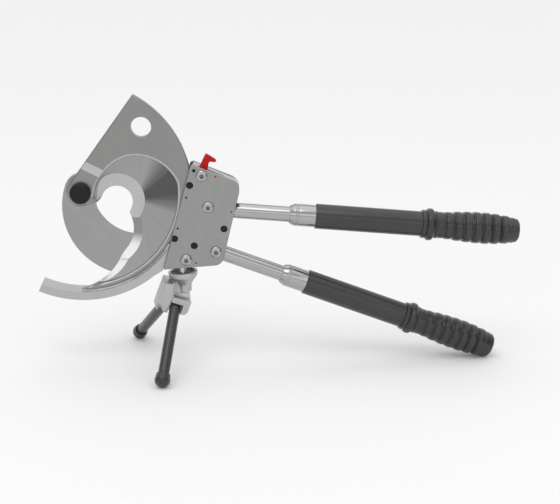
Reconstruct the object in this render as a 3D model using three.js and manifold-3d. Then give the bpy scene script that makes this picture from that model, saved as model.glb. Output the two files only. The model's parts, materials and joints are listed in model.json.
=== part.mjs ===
// A ratchet cable cutter with telescopic handles, standing on a folding bipod and the end of its lower grip.
// Millimetres, +Z up, +X towards the handles, -Y the front. The origin is under the middle of the tool, on
// the ground. The head is drawn in the XZ plane from the pivot of the blades, and extruded along Y.
import * as THREE from "three";
import { mergeVertices } from "three/addons/utils/BufferGeometryUtils.js";
import Module from "manifold-3d";

const wasm = await Module();
wasm.setup();

// ---------- driving dimensions ----------

const GAP = 0.3; // clearance between touching pieces
const PIVOT = { x: -233.1, z: 215.45 }; // pivot of the blades, in the tool's frame

// Layers across the head, along Y.
const LAYER = {
  coverFront: [-13.9, -9.9],
  bossFront: -12.6,
  fixedBlade: [-9.5, -GAP],
  movingBlade: [GAP, 9.3],
  between: [-9.6, 9.6],
  coverRear: [9.9, 13.9],
  hook: [-9.5, 18],
};

// Fixed blade, from the pivot.
const BOSS_R = 16;
const TAIL_R = 130;
const TAIL_EDGE_DEG = 53.7; // direction of the tail's straight edge, a tangent of the boss
const LUG_R = 119.4;
const HANG_HOLE = { x: 72.2, z: 76, r: 11.8 };
const SEAT = { x: 41, z: -13, r: 18.4 }; // the small arc of the cutting edge
const THROAT = { x: 19.7, z: -45.1, r: 39.9 }; // the large arc
const HEEL = { x: -20.4, z: -50.2, r: 70.8 }; // the arc that runs out on the hook
const DISH = { x: 63, z: -11, rimR: 55, floorR: 16, floorY: -5 };
const RAMP = { x: 13.2, z: 27.7, slope: 25 }; // the boss's sloped shoulder

// Moving blade, from the pivot, in the pose the tool stands in.
const EYE_R = 19.9;
const CRESCENT = { x: 59.9, z: -21.3, r: 83.5 }; // outer edge, tangent to the eye
const SICKLE = { x: 68.1, z: 2.5, r: 55.6 }; // cutting edge
const RIM = { tipR: 118.5, rootR: 115.3, innerR: 103, fromDeg: -61, pitchDeg: 3, teeth: 33 };

// Hook, from the pivot.
const HOOK_INNER_R = 122;
const HOOK_OUTER_R = 132;
const HOOK_NOSE_DEG = -114.6;

// Housing, from the pivot.
const COVER_CORNERS = [
  { x: 93.4, z: -94.5, r: 1.5 },
  { x: 163.5, z: -89.8, r: 11 },
  { x: 187.1, z: 8.9, r: 14 },
  { x: 128.5, z: 33.2, r: 4 },
];
const RELEASE_PIVOT = { x: 141.1, z: 18.8 };
const DRIVE_PIVOT = { x: 147.9, z: -19 };
const ROOT_SCREW = { x: 156.5, z: -73.5 };
const HOOK_SCREW = { x: 121.1, z: -82.8 };
const SCREWS = [RELEASE_PIVOT, DRIVE_PIVOT, ROOT_SCREW, HOOK_SCREW];
const SCREW = { shankR: 3, headR: 6.8, headH: 3.6, socketR: 2.9, socketDepth: 2.4, nutR: 6.2, nutH: 5 };
const HOLD_PIN = { x: 126.9, z: 7.5 };
const STOP_PIN = { x: 166.3, z: -45.4 };
const BLADE_PIN = { x: 107.9, z: -56.6 };
const ROOT_PIN = { x: 130.9, z: -65.5 };
const FRAME_PIN = { x: 132.1, z: 25 };
const FEED_PIN = { x: 131, z: -30 };
const PIN_R = 3.5;
const PAWL_Y = [0.7, 9];
const RELEASE = { hubR: 6.6, bushR: 4.6, thumbY: [-9, -3], tailY: [0.9, 8.9] };

// Handles.
const UPPER = { at: DRIVE_PIVOT, slope: 5, drop: 4.5, tubeFrom: 26, ferrule: 97 };
const LOWER = { at: ROOT_SCREW, slope: 20.8, drop: 1.5, tubeFrom: 8, ferrule: 84.5 };
const INNER_TUBE = { r: 9.3, bore: 7.4, past: 215 }; // past: how far it runs inside the outer tube
const FERRULE = { r: 13.4, length: 31, chamfer: 6, spigot: 12 };
const OUTER_TUBE = { r: 15, bore: 13.1, to: 262 };
const GUARD = { from: 159, to: 164, r: 17 };
const GRIP = { from: 164.3, to: 277, ringR: 19.3, neckR: 15.8, endR: 13.6 };
const RIBS = { ribR: 18.9, ribPitch: 11.4, ribs: 7, firstRib: 27, fullRib: 3.6 }; // fullRib: the widest one

// Bipod: the swivel's axis is square to the covers' lower edge, and the legs hinge in a leaning frame.
const SWIVEL = { x: 116.4, z: -100, lean: -3.8 };
const SWIVEL_BOLT = { r: 4, to: 10.4, headR: 5, headFrom: -9.4, headTo: -13 };
const CUP = { r: 17.6, wall: 3, depth: 6, lip: 4, floor: 3 };
const LEG_FRAME = { x: 115.8, z: -96.5, lean: 21, yaw: 8.5 };
const LEGS = { front: { side: -1, x: 5, z: -43 }, rear: { side: 1, x: -2.8, z: -56 } };
const LEG = { y: 14, splay: 46.7, r: 6.6, length: 100.5, footR: 9.2, pinR: 2.5 };

// ---------- materials ----------

const look = (color, roughness, metalness) => new THREE.MeshStandardMaterial({ color, roughness, metalness });
const LOOK = {
  blade: look(0x9b9c99, 0.35, 1),
  cover: look(0xb0b0ae, 0.4, 1),
  bright: look(0xd8d8d6, 0.2, 1),
  black: look(0x17181a, 0.5, 0.6),
  paint: look(0x1d1e20, 0.45, 0),
  rubber: look(0x141416, 0.5, 0),
  red: look(0xc4141a, 0.4, 0),
  cast: look(0xb9babb, 0.5, 0.9),
};

// ---------- shapes and solids ----------

const rad = THREE.MathUtils.degToRad;
const polar = (r, deg) => ({ x: r * Math.cos(rad(deg)), z: r * Math.sin(rad(deg)) });

/** A closed geometry as a solid for cuts and joins. Its faces may point either way. */
function solid(geometry) {
  const bare = geometry.index ? geometry.toNonIndexed() : geometry.clone();
  bare.deleteAttribute("normal");
  bare.deleteAttribute("uv");
  const merged = mergeVertices(bare, 1e-4);
  const index = merged.index.array;
  const triangles = [];
  for (let i = 0; i < index.length; i += 3) {
    const [a, b, c] = index.slice(i, i + 3);
    if (a !== b && b !== c && c !== a) triangles.push([a, b, c]);
  }
  const build = (turned) =>
    new wasm.Manifold(
      new wasm.Mesh({
        numProp: 3,
        vertProperties: merged.attributes.position.array,
        triVerts: new Uint32Array(triangles.flatMap(([a, b, c]) => (turned ? [a, c, b] : [a, b, c]))),
      }),
    );
  const made = build(false);
  return made.volume() > 0 ? made : build(true);
}

function geometryOf(made) {
  const mesh = made.getMesh();
  const positions = new Float32Array(mesh.numVert * 3);
  for (let i = 0; i < mesh.numVert; i += 1) {
    positions.set(mesh.vertProperties.subarray(i * mesh.numProp, i * mesh.numProp + 3), i * 3);
  }
  const geometry = new THREE.BufferGeometry();
  geometry.setAttribute("position", new THREE.BufferAttribute(positions, 3));
  geometry.setIndex(new THREE.BufferAttribute(mesh.triVerts, 1));
  geometry.computeVertexNormals();
  return geometry;
}

/** An outline in the XZ plane, extruded from y0 to y1. */
function plate(shape, [y0, y1], curveSegments = 8) {
  const geometry = new THREE.ExtrudeGeometry(shape, { depth: y1 - y0, bevelEnabled: false, curveSegments });
  return solid(geometry.rotateX(Math.PI / 2).translate(0, y1, 0));
}

/** A round bar along Y. */
function rod({ x, z }, r, [y0, y1], sides = 24) {
  return solid(new THREE.CylinderGeometry(r, r, y1 - y0, sides).translate(x, (y0 + y1) / 2, z));
}

/** A body turned about Y from [radius, y] pairs. */
function turned(profile, sides = 24) {
  return solid(new THREE.LatheGeometry(profile.map(([r, y]) => new THREE.Vector2(r, y)), sides));
}

/** A body turned about Z from [radius, z] pairs. */
const turnedUp = (profile, sides = 32) => turned(profile, sides).rotate([90, 0, 0]);

/** A round bar along Z. */
const upright = (r, z0, z1) => turnedUp([[0, z1], [r, z1], [r, z0], [0, z0]], 24);

/** A body turned about X from [radius, x] pairs. */
function turnedAlongX(profile, sides = 28) {
  const points = profile.map(([r, x]) => new THREE.Vector2(r, x));
  return solid(new THREE.LatheGeometry(points, sides).rotateZ(-Math.PI / 2));
}

/** A block from its lowest to its highest corner. */
function block([x0, y0, z0], [x1, y1, z1]) {
  const box = new THREE.BoxGeometry(x1 - x0, y1 - y0, z1 - z0);
  return solid(box.translate((x0 + x1) / 2, (y0 + y1) / 2, (z0 + z1) / 2));
}

/** A six-sided nut along Y with a round bore. */
const hexNut = (at, r, bore, [y0, y1]) => rod(at, r, [y0, y1], 6).subtract(rod(at, bore, [y0 - 1, y1 + 1]));

const joined = (...pieces) => pieces.reduce((a, b) => a.add(b));
const cut = (piece, ...tools) => tools.reduce((a, b) => a.subtract(b), piece);

/** An outline with straight sides and rounded corners, from {x, z, r}. */
function roundedShape(corners) {
  const shape = new THREE.Shape();
  corners.forEach((corner, i) => {
    const before = corners[(i + corners.length - 1) % corners.length];
    const after = corners[(i + 1) % corners.length];
    const here = new THREE.Vector2(corner.x, corner.z);
    const back = new THREE.Vector2(before.x, before.z).sub(here).normalize();
    const on = new THREE.Vector2(after.x, after.z).sub(here).normalize();
    const half = Math.acos(THREE.MathUtils.clamp(back.dot(on), -1, 1)) / 2;
    const reach = corner.r / Math.tan(half);
    const start = here.clone().addScaledVector(back, reach);
    const end = here.clone().addScaledVector(on, reach);
    if (i === 0) shape.moveTo(start.x, start.y);
    else shape.lineTo(start.x, start.y);
    shape.quadraticCurveTo(here.x, here.y, end.x, end.y);
  });
  shape.closePath();
  return shape;
}

/** The band round two circles, {x, z, r} each: the outline of a link or an arm. */
function linkShape(a, b) {
  const along = Math.atan2(b.z - a.z, b.x - a.x);
  const lean = Math.acos((a.r - b.r) / Math.hypot(b.x - a.x, b.z - a.z));
  const shape = new THREE.Shape();
  shape.absarc(a.x, a.z, a.r, along + lean, along - lean + 2 * Math.PI, false);
  shape.absarc(b.x, b.z, b.r, along - lean, along + lean, false);
  shape.closePath();
  return shape;
}

const root = new THREE.Group();
const head = new THREE.Group();
head.position.set(PIVOT.x, 0, PIVOT.z);
root.add(head);

function piece(parent, name, made, material) {
  const mesh = new THREE.Mesh(geometryOf(made), material);
  mesh.name = name;
  parent.add(mesh);
}

// ---------- blades and hook ----------

function fixedBlade() {
  const tangent = TAIL_EDGE_DEG + 90;
  const tip = TAIL_EDGE_DEG + (Math.asin(BOSS_R / TAIL_R) * 180) / Math.PI;
  const runOut = { from: -24, to: -76.5, lugDeg: -92.2 }; // where the heel arc meets the lug's outer arc
  const shape = new THREE.Shape();
  shape.absarc(0, 0, BOSS_R, rad(tangent), rad(285), false);
  shape.lineTo(17.5, -12.2);
  shape.absarc(SEAT.x, SEAT.z, SEAT.r, rad(172.8), rad(-25), true);
  shape.absarc(THROAT.x, THROAT.z, THROAT.r, rad(27), rad(-43), true);
  shape.absarc(HEEL.x, HEEL.z, HEEL.r, rad(runOut.from), rad(runOut.to), true);
  shape.absarc(0, 0, LUG_R, rad(runOut.lugDeg), rad(-31.5), false);
  shape.absarc(0, 0, 129, rad(-31.5), rad(-21), false);
  shape.absarc(0, 0, 124, rad(-21), rad(-1), false);
  shape.absarc(0, 0, TAIL_R, rad(-1), rad(tip), false);
  shape.closePath();

  const [front, rear] = LAYER.fixedBlade;
  const boss = new THREE.Shape();
  boss.absarc(0, 0, BOSS_R, rad(tangent), rad(285), false);
  boss.lineTo(17.5, -12.2);
  boss.lineTo(28, 24.6);
  boss.lineTo(8, 37.8);
  boss.closePath();
  const shoulder = new THREE.BoxGeometry(80, 8, 80);
  shoulder.translate(0, -4, 40).rotateX(rad(RAMP.slope)).rotateY(rad(-28));
  shoulder.translate(RAMP.x, LAYER.bossFront, RAMP.z - 4);
  const dish = turned([
    [0, DISH.floorY],
    [DISH.floorR, DISH.floorY],
    [DISH.rimR, front],
    [DISH.rimR, LAYER.bossFront - 1],
    [0, LAYER.bossFront - 1],
  ], 64).translate(DISH.x, 0, DISH.z);
  const raised = cut(plate(boss, [LAYER.bossFront, front + 1]), solid(shoulder));
  const through = [LAYER.bossFront - 1, rear + 1];
  return cut(
    joined(plate(shape, LAYER.fixedBlade), raised),
    dish,
    rod({ x: 0, z: 0 }, 8 + GAP, through),
    rod(HANG_HOLE, HANG_HOLE.r, through, 40),
    rod(HOLD_PIN, PIN_R + GAP, through),
    rod(BLADE_PIN, PIN_R + GAP, through),
  );
}

function movingBlade() {
  const shape = new THREE.Shape();
  shape.absarc(0, 0, EYE_R, rad(-49), rad(160.4), false);
  shape.absarc(CRESCENT.x, CRESCENT.z, CRESCENT.r, rad(160.4), rad(267.5), false);
  for (let i = 0; i < RIM.teeth; i += 1) {
    const face = RIM.fromDeg + i * RIM.pitchDeg;
    const low = polar(RIM.rootR, face);
    const tip = polar(RIM.tipR, face);
    shape.lineTo(low.x, low.z);
    shape.lineTo(tip.x, tip.z);
  }
  const endDeg = RIM.fromDeg + RIM.teeth * RIM.pitchDeg;
  const end = polar(RIM.rootR, endDeg);
  shape.lineTo(end.x, end.z);
  shape.absarc(0, 0, RIM.innerR, rad(endDeg), rad(-27.6), true);
  shape.absarc(SICKLE.x, SICKLE.z, SICKLE.r, rad(-65), rad(-160.5), true);
  shape.closePath();

  const [front, rear] = LAYER.movingBlade;
  const bevel = turned([
    [0, front + 0.6],
    [SICKLE.r + 0.4, front + 0.6],
    [SICKLE.r + 11, rear + 0.2],
    [SICKLE.r + 11, rear + 1],
    [0, rear + 1],
  ], 72).translate(SICKLE.x, 0, SICKLE.z);
  const cuttingSide = block([16, front, -110], [78, rear + 2, -18]);
  return cut(
    plate(shape, LAYER.movingBlade),
    bevel.intersect(cuttingSide),
    rod({ x: 0, z: 0 }, 8 + GAP, [front - 1, rear + 1], 32),
  );
}

function jawHook() {
  const arm = new THREE.Shape();
  arm.absarc(0, 0, HOOK_INNER_R, rad(HOOK_NOSE_DEG), rad(-42.5), false);
  arm.lineTo(93.2, -96.6);
  arm.absarc(0, 0, HOOK_OUTER_R, rad(-51.5), rad(HOOK_NOSE_DEG), true);
  arm.closePath();
  const heel = new THREE.Shape();
  heel.absarc(0, 0, HOOK_INNER_R, rad(-46), rad(-34.7), false);
  heel.lineTo(113, -69.5);
  heel.lineTo(119, -73);
  heel.lineTo(129, -79);
  heel.lineTo(129, -91.5);
  heel.lineTo(93.2, -94.2);
  heel.lineTo(88, -95);
  heel.closePath();
  const [, rear] = LAYER.between;
  const behindCover = plate(roundedShape(COVER_CORNERS), [rear, LAYER.hook[1] + 1]);
  return cut(
    joined(cut(plate(arm, LAYER.hook, 14), grown(behindCover)), plate(heel, LAYER.between)),
    rod(HOOK_SCREW, SCREW.shankR + GAP, [-12, 12]),
    onSwivel(upright(SWIVEL_BOLT.r + GAP, 0, SWIVEL_BOLT.to + 0.6)),
  );
}

/** A solid with the same solid nudged a clearance to each side, so that a cut with it leaves a gap. */
function grown(made) {
  return joined(made, made.translate(-GAP, 0, 0), made.translate(0, 0, -GAP), made.translate(0, 0, GAP));
}

/** Places a solid drawn about the bipod's swivel axis in the head's frame. */
function onSwivel(made) {
  return made.rotate([0, SWIVEL.lean, 0]).translate(SWIVEL.x, 0, SWIVEL.z);
}

piece(head, "fixed_blade", fixedBlade(), LOOK.blade);
piece(head, "moving_blade", movingBlade(), LOOK.blade);
piece(head, "jaw_hook", jawHook(), LOOK.cover);

// ---------- pivot ----------

const pivotHead = { r: 10.5, from: -17.2, to: LAYER.bossFront - GAP };
piece(head, "pivot_bolt", turned([
  [0, pivotHead.from],
  [pivotHead.r, pivotHead.from],
  [pivotHead.r, pivotHead.to],
  [8, pivotHead.to],
  [8, 21],
  [7, 22],
  [0, 22],
], 32), LOOK.black);
piece(head, "pivot_cap", turned([
  [0, -20.8],
  [9.6, -20.8],
  [12.2, -18.8],
  [12.2, pivotHead.to],
  [pivotHead.r + GAP, pivotHead.to],
  [pivotHead.r + GAP, pivotHead.from - GAP],
  [0, pivotHead.from - GAP],
], 36), LOOK.black);
piece(head, "pivot_washer", turned([
  [8 + GAP, 9.6],
  [15, 9.6],
  [15, 11.6],
  [8 + GAP, 11.6],
  [8 + GAP, 9.6],
], 32), LOOK.bright);
piece(head, "pivot_nut", hexNut({ x: 0, z: 0 }, 13.4, 8 + GAP, [11.9, 19.4]), LOOK.bright);

// ---------- housing ----------

const THROUGH_PINS = [HOLD_PIN, STOP_PIN, ROOT_PIN];

function cover([y0, y1], pins) {
  const through = [y0 - 1, y1 + 1];
  const screwHoles = SCREWS.map((at) => rod(at, SCREW.shankR + GAP, through, 20));
  const pinHoles = pins.map((at) => rod(at, PIN_R + GAP, through, 20));
  const framePin = rod(FRAME_PIN, 1.4 + GAP, through, 12);
  return cut(plate(roundedShape(COVER_CORNERS), [y0, y1], 5), ...screwHoles, ...pinHoles, framePin);
}

piece(head, "front_cover", cover(LAYER.coverFront, [...THROUGH_PINS, BLADE_PIN]), LOOK.cover);
piece(head, "rear_cover", cover(LAYER.coverRear, THROUGH_PINS), LOOK.cover);

/** The wall that closes the top of the housing and turns down round its corner. */
function housingFrame() {
  const outline = roundedShape([
    { x: 129.9, z: 32.2, r: 3 },
    { x: 130.6, z: 20.5, r: 1 },
    { x: 134, z: 20.5, r: 1 },
    { x: 134.6, z: 25.4, r: 0.5 },
    { x: 181.6, z: 5.4, r: 3.6 },
    { x: 180.4, z: 0.2, r: 0.2 },
    { x: 184.3, z: -0.8, r: 0.2 },
    { x: 186.3, z: 8.4, r: 10 },
  ]);
  const slot = roundedShape([
    { x: 136.5, z: 34, r: 0.2 },
    { x: 136.5, z: 20, r: 0.2 },
    { x: 166.7, z: 8, r: 0.2 },
    { x: 166.7, z: 22, r: 0.2 },
  ]);
  const slotY = [LAYER.between[0] - 1, RELEASE.thumbY[1] + 0.6];
  return cut(
    plate(outline, LAYER.between, 4),
    plate(slot, slotY, 1),
    rod(RELEASE_PIVOT, RELEASE.hubR + 2 * GAP, [-12, 12]),
    rod(FRAME_PIN, 1.4 + GAP, [-12, 12], 12),
  );
}

piece(head, "housing_frame", housingFrame(), LOOK.cover);

SCREWS.forEach((at, i) => {
  const { shankR, headR, headH, socketR, socketDepth } = SCREW;
  const seat = LAYER.coverFront[0] - GAP;
  const dome = turned([
    [0, seat - headH],
    [headR * 0.55, seat - headH],
    [headR * 0.9, seat - headH * 0.6],
    [headR, seat - 0.4],
    [headR, seat],
    [shankR, seat],
    [shankR, 19.4],
    [0, 19.4],
  ]);
  const socket = rod({ x: 0, z: 0 }, socketR, [seat - headH - 1, seat - headH + socketDepth], 6);
  piece(head, `cover_screw_${i + 1}`, cut(dome, socket).translate(at.x, 0, at.z), LOOK.bright);
  const nutY = [LAYER.coverRear[1] + GAP, LAYER.coverRear[1] + SCREW.nutH];
  piece(head, `cover_nut_${i + 1}`, hexNut(at, SCREW.nutR, shankR + GAP, nutY), LOOK.bright);
});

const pinEnds = [LAYER.coverFront[0] - 0.2, LAYER.coverRear[1] + 0.2];
piece(head, "hold_pawl_pin", rod(HOLD_PIN, PIN_R, pinEnds), LOOK.black);
piece(head, "stop_pin", rod(STOP_PIN, PIN_R, pinEnds), LOOK.black);
piece(head, "root_pin", rod(ROOT_PIN, PIN_R, pinEnds), LOOK.black);
piece(head, "blade_pin", rod(BLADE_PIN, PIN_R, [pinEnds[0], LAYER.fixedBlade[1] - GAP]), LOOK.black);
piece(head, "frame_pin", rod(FRAME_PIN, 1.4, pinEnds, 12), LOOK.black);
piece(head, "release_bush", turned([
  [SCREW.shankR + GAP, LAYER.between[0]],
  [RELEASE.bushR, LAYER.between[0]],
  [RELEASE.bushR, LAYER.between[1]],
  [SCREW.shankR + GAP, LAYER.between[1]],
  [SCREW.shankR + GAP, LAYER.between[0]],
], 20).translate(RELEASE_PIVOT.x, 0, RELEASE_PIVOT.z), LOOK.bright);

// ---------- ratchet ----------

/** A pawl's wedge-shaped arm from its pin to its tip, which stands just clear of the tooth tips. */
function pawlArm(pin, tipDeg, rootWidth) {
  const tip = polar(RIM.tipR + 0.6, tipDeg);
  const lean = Math.atan2(tip.z - pin.z, tip.x - pin.x);
  const side = (sign, along, across) => ({
    x: pin.x + along * Math.cos(lean) - sign * across * Math.sin(lean),
    z: pin.z + along * Math.sin(lean) + sign * across * Math.cos(lean),
  });
  const shape = new THREE.Shape();
  const start = side(1, 0, rootWidth);
  const other = side(-1, 0, rootWidth);
  shape.moveTo(start.x, start.z);
  shape.lineTo(tip.x, tip.z);
  shape.lineTo(other.x, other.z);
  shape.closePath();
  return plate(shape, PAWL_Y);
}

const pinHole = (at) => rod(at, PIN_R + GAP, [-12, 12]);
const holdTail = { x: 131.2, z: 14.6, r: 2 };
piece(head, "hold_pawl", cut(
  joined(
    rod(HOLD_PIN, 6.8, PAWL_Y),
    plate(linkShape({ ...HOLD_PIN, r: 4 }, holdTail), PAWL_Y),
    pawlArm(HOLD_PIN, -5.5, 5),
  ),
  pinHole(HOLD_PIN),
), LOOK.black);
piece(head, "feed_pawl", cut(
  joined(
    rod(FEED_PIN, 6.4, PAWL_Y),
    pawlArm(FEED_PIN, -11.5, 5),
  ),
  pinHole(FEED_PIN),
), LOOK.black);

const SPRING = { coilR: 2, wireR: 0.45, turns: 5, y: 5.2, stepsPerTurn: 8 };

/** A small round-wire spring behind its pawl, from x0 to x1. */
function coilSpring(x0, x1, z) {
  const { coilR, wireR, turns, y, stepsPerTurn } = SPRING;
  const points = [];
  for (let i = 0; i <= turns * stepsPerTurn; i += 1) {
    const turn = (i / stepsPerTurn) * 2 * Math.PI;
    const x = THREE.MathUtils.lerp(x0, x1, i / (turns * stepsPerTurn));
    points.push(new THREE.Vector3(x, y + coilR * Math.cos(turn), z + coilR * Math.sin(turn)));
  }
  const wire = new THREE.Shape();
  wire.absarc(0, 0, wireR, 0, 2 * Math.PI, false);
  return solid(new THREE.ExtrudeGeometry(wire, {
    steps: turns * stepsPerTurn,
    curveSegments: 3,
    extrudePath: new THREE.CatmullRomCurve3(points),
    bevelEnabled: false,
  }));
}

piece(head, "hold_pawl_spring", coilSpring(129.5, 137, -3.5), LOOK.bright);
piece(head, "feed_pawl_spring", coilSpring(125.5, 133.4, -18.8), LOOK.bright);

function releaseLever() {
  const { hubR, bushR, thumbY, tailY } = RELEASE;
  const thumb = new THREE.Shape();
  thumb.moveTo(137.6, 21);
  thumb.lineTo(139.3, 29.8);
  thumb.lineTo(145.6, 43);
  thumb.lineTo(147.2, 43.4);
  thumb.lineTo(156.8, 37.4);
  thumb.lineTo(158.2, 35.6);
  thumb.lineTo(157.2, 33.7);
  thumb.lineTo(150.8, 34.6);
  thumb.lineTo(149.4, 32.6);
  thumb.lineTo(148.4, 26);
  thumb.lineTo(145.6, 20);
  thumb.closePath();
  return cut(
    joined(
      plate(thumb, thumbY),
      rod(RELEASE_PIVOT, hubR, [thumbY[0], tailY[1]]),
      plate(linkShape({ ...RELEASE_PIVOT, r: 4 }, { x: 137.2, z: 10.4, r: 1.5 }), tailY),
    ),
    rod(RELEASE_PIVOT, bushR + GAP, [-12, 12]),
  );
}

piece(head, "release_lever", releaseLever(), LOOK.red);

// ---------- handles ----------

/** The group of a handle: its x axis runs along the tubes from the screw that holds it. */
function handleGroup({ at, slope }) {
  const group = new THREE.Group();
  group.position.set(at.x, 0, at.z);
  group.rotation.y = rad(slope);
  head.add(group);
  return group;
}

/** A point of the head's plane in a handle's frame. */
function inHandle({ at, slope }, point) {
  const turn = rad(slope);
  const x = point.x - at.x;
  const z = point.z - at.z;
  return { x: x * Math.cos(turn) - z * Math.sin(turn), z: x * Math.sin(turn) + z * Math.cos(turn) };
}

/** The bar between the covers, ending in the spigot that the inner tube is pushed on. */
function handleBar({ drop, tubeFrom }, eyeR) {
  const bar = linkShape({ x: 0, z: 0, r: eyeR }, { x: tubeFrom - 9.5, z: -drop, r: 9 });
  const [y0, y1] = LAYER.between;
  const end = tubeFrom - GAP;
  const flat = joined(
    plate(bar, LAYER.between),
    block([tubeFrom - 11, y0 + 0.3, -drop - 9], [end, y1 - 0.3, -drop + 9]),
  );
  return joined(
    cut(flat, block([end, y0 - 1, -30], [end + 30, y1 + 1, 30])),
    turnedAlongX([
      [0, tubeFrom - 4],
      [INNER_TUBE.bore - GAP, tubeFrom - 4],
      [INNER_TUBE.bore - GAP, tubeFrom + 22],
      [0, tubeFrom + 24],
    ]).translate(0, 0, -drop),
  );
}

const upper = handleGroup(UPPER);
const lower = handleGroup(LOWER);

const feedPin = inHandle(UPPER, FEED_PIN);
const pawlArmY = [LAYER.between[0], -0.2];
const driveArm = joined(
  plate(linkShape({ x: 0, z: 0, r: 9 }, { ...feedPin, r: 6.4 }), pawlArmY),
  handleBar(UPPER, 10.5),
);
const feedPawlRoom = rod(feedPin, 8, [pawlArmY[1], 11]);
piece(upper, "drive_lever", cut(
  driveArm,
  feedPawlRoom,
  rod({ x: 0, z: 0 }, SCREW.shankR + GAP, [-12, 12]),
  rod(feedPin, PIN_R + GAP, [-12, 12]),
), LOOK.cover);
piece(upper, "feed_pawl_pin", rod(feedPin, PIN_R, LAYER.between), LOOK.black);

const rootPin = inHandle(LOWER, ROOT_PIN);
piece(lower, "fixed_handle_root", cut(
  joined(
    plate(linkShape({ x: 0, z: 0, r: 7.4 }, { ...rootPin, r: 8 }), LAYER.between),
    handleBar(LOWER, 9),
  ),
  rod({ x: 0, z: 0 }, SCREW.shankR + GAP, [-12, 12]),
  rod(rootPin, PIN_R + GAP, [-12, 12]),
), LOOK.cover);

/** A tube as a closed profile of [radius, x] pairs. */
const tubeProfile = (bore, r, from, to) => [
  [bore, from],
  [r, from],
  [r, to],
  [bore, to],
  [bore, from],
];

function gripProfile(start) {
  const { from, to, ringR, neckR, endR } = GRIP;
  const { ribR, ribPitch, ribs, firstRib, fullRib } = RIBS;
  const bore = OUTER_TUBE.r + GAP;
  const profile = [[bore, from], [17.6, from], [ringR, from + 3], [ringR, from + 7], [17.2, from + 9.5]];
  profile.push([neckR, from + 10.5], [neckR, from + 20]);
  for (let i = 0; i < ribs; i += 1) {
    const middle = from + firstRib + i * ribPitch;
    const past = i - fullRib;
    const swell = ribR - (past > 0 ? 0.34 : 0.19) * past ** 2;
    profile.push([swell - 1.6, middle - 4.6], [swell, middle - 3]);
    profile.push([swell, middle + 3], [swell - 1.6, middle + 4.6]);
  }
  profile.push([endR, to - 1.5], [endR - 1.5, to], [0, to], [0, to - 6], [bore, to - 6], [bore, from]);
  return profile.map(([r, x]) => [r, x + start]);
}

/** The telescoping half of a handle, with the tube that it slides on. */
function telescope(group, name, { drop, tubeFrom, ferrule }) {
  const place = (made) => made.translate(0, 0, -drop);
  const add = (part, made, material) => piece(group, `${name}_${part}`, place(made), material);
  const innerEnd = ferrule + INNER_TUBE.past;
  const sleeveBore = INNER_TUBE.r + GAP;
  const inner = tubeProfile(INNER_TUBE.bore, INNER_TUBE.r, tubeFrom, innerEnd);
  add("inner_tube", turnedAlongX(inner), LOOK.bright);
  const stopRing = tubeProfile(sleeveBore, OUTER_TUBE.bore - GAP, innerEnd - 10, innerEnd);
  add("stop_ring", turnedAlongX(stopRing), LOOK.cover);
  const ferruleEnd = ferrule + FERRULE.length;
  add("ferrule", turnedAlongX([
    [sleeveBore, ferrule],
    [INNER_TUBE.r + 1.4, ferrule],
    [FERRULE.r, ferrule + FERRULE.chamfer],
    [FERRULE.r, ferruleEnd],
    [OUTER_TUBE.bore - GAP, ferruleEnd],
    [OUTER_TUBE.bore - GAP, ferruleEnd + FERRULE.spigot],
    [sleeveBore, ferruleEnd + FERRULE.spigot],
    [sleeveBore, ferrule],
  ]), LOOK.bright);
  const tube = tubeProfile(OUTER_TUBE.bore, OUTER_TUBE.r, ferruleEnd + GAP, ferrule + OUTER_TUBE.to);
  add("outer_tube", turnedAlongX(tube), LOOK.paint);
  const guard = tubeProfile(OUTER_TUBE.r + GAP, GUARD.r, ferrule + GUARD.from, ferrule + GUARD.to);
  add("guard_ring", turnedAlongX(guard), LOOK.rubber);
  add("grip", turnedAlongX(gripProfile(ferrule)), LOOK.rubber);
}

telescope(upper, "upper", UPPER);
telescope(lower, "lower", LOWER);

// ---------- bipod ----------

/** Places a solid drawn in the legs' frame in the head's frame. */
function inLegFrame(made) {
  const { x, z, lean, yaw } = LEG_FRAME;
  return made.rotate([0, 0, yaw]).rotate([0, lean, 0]).translate(x, 0, z);
}

/** A bar along X through a leg's hinge, in the legs' frame. */
function hingeBar({ side, x, z }, r, [x0, x1], sides = 16) {
  const bar = new THREE.CylinderGeometry(r, r, x1 - x0, sides).rotateZ(Math.PI / 2);
  return solid(bar.translate((x0 + x1) / 2, side * LEG.y, z));
}

piece(head, "swivel_bolt", onSwivel(turnedUp([
  [0, SWIVEL_BOLT.to],
  [SWIVEL_BOLT.r, SWIVEL_BOLT.to],
  [SWIVEL_BOLT.r, SWIVEL_BOLT.headFrom],
  [SWIVEL_BOLT.headR, SWIVEL_BOLT.headFrom],
  [SWIVEL_BOLT.headR, SWIVEL_BOLT.headTo],
  [0, SWIVEL_BOLT.headTo],
], 24)), LOOK.bright);

const YOKE = { left: -14, right: 18, front: -22, rear: 22 };

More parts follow.
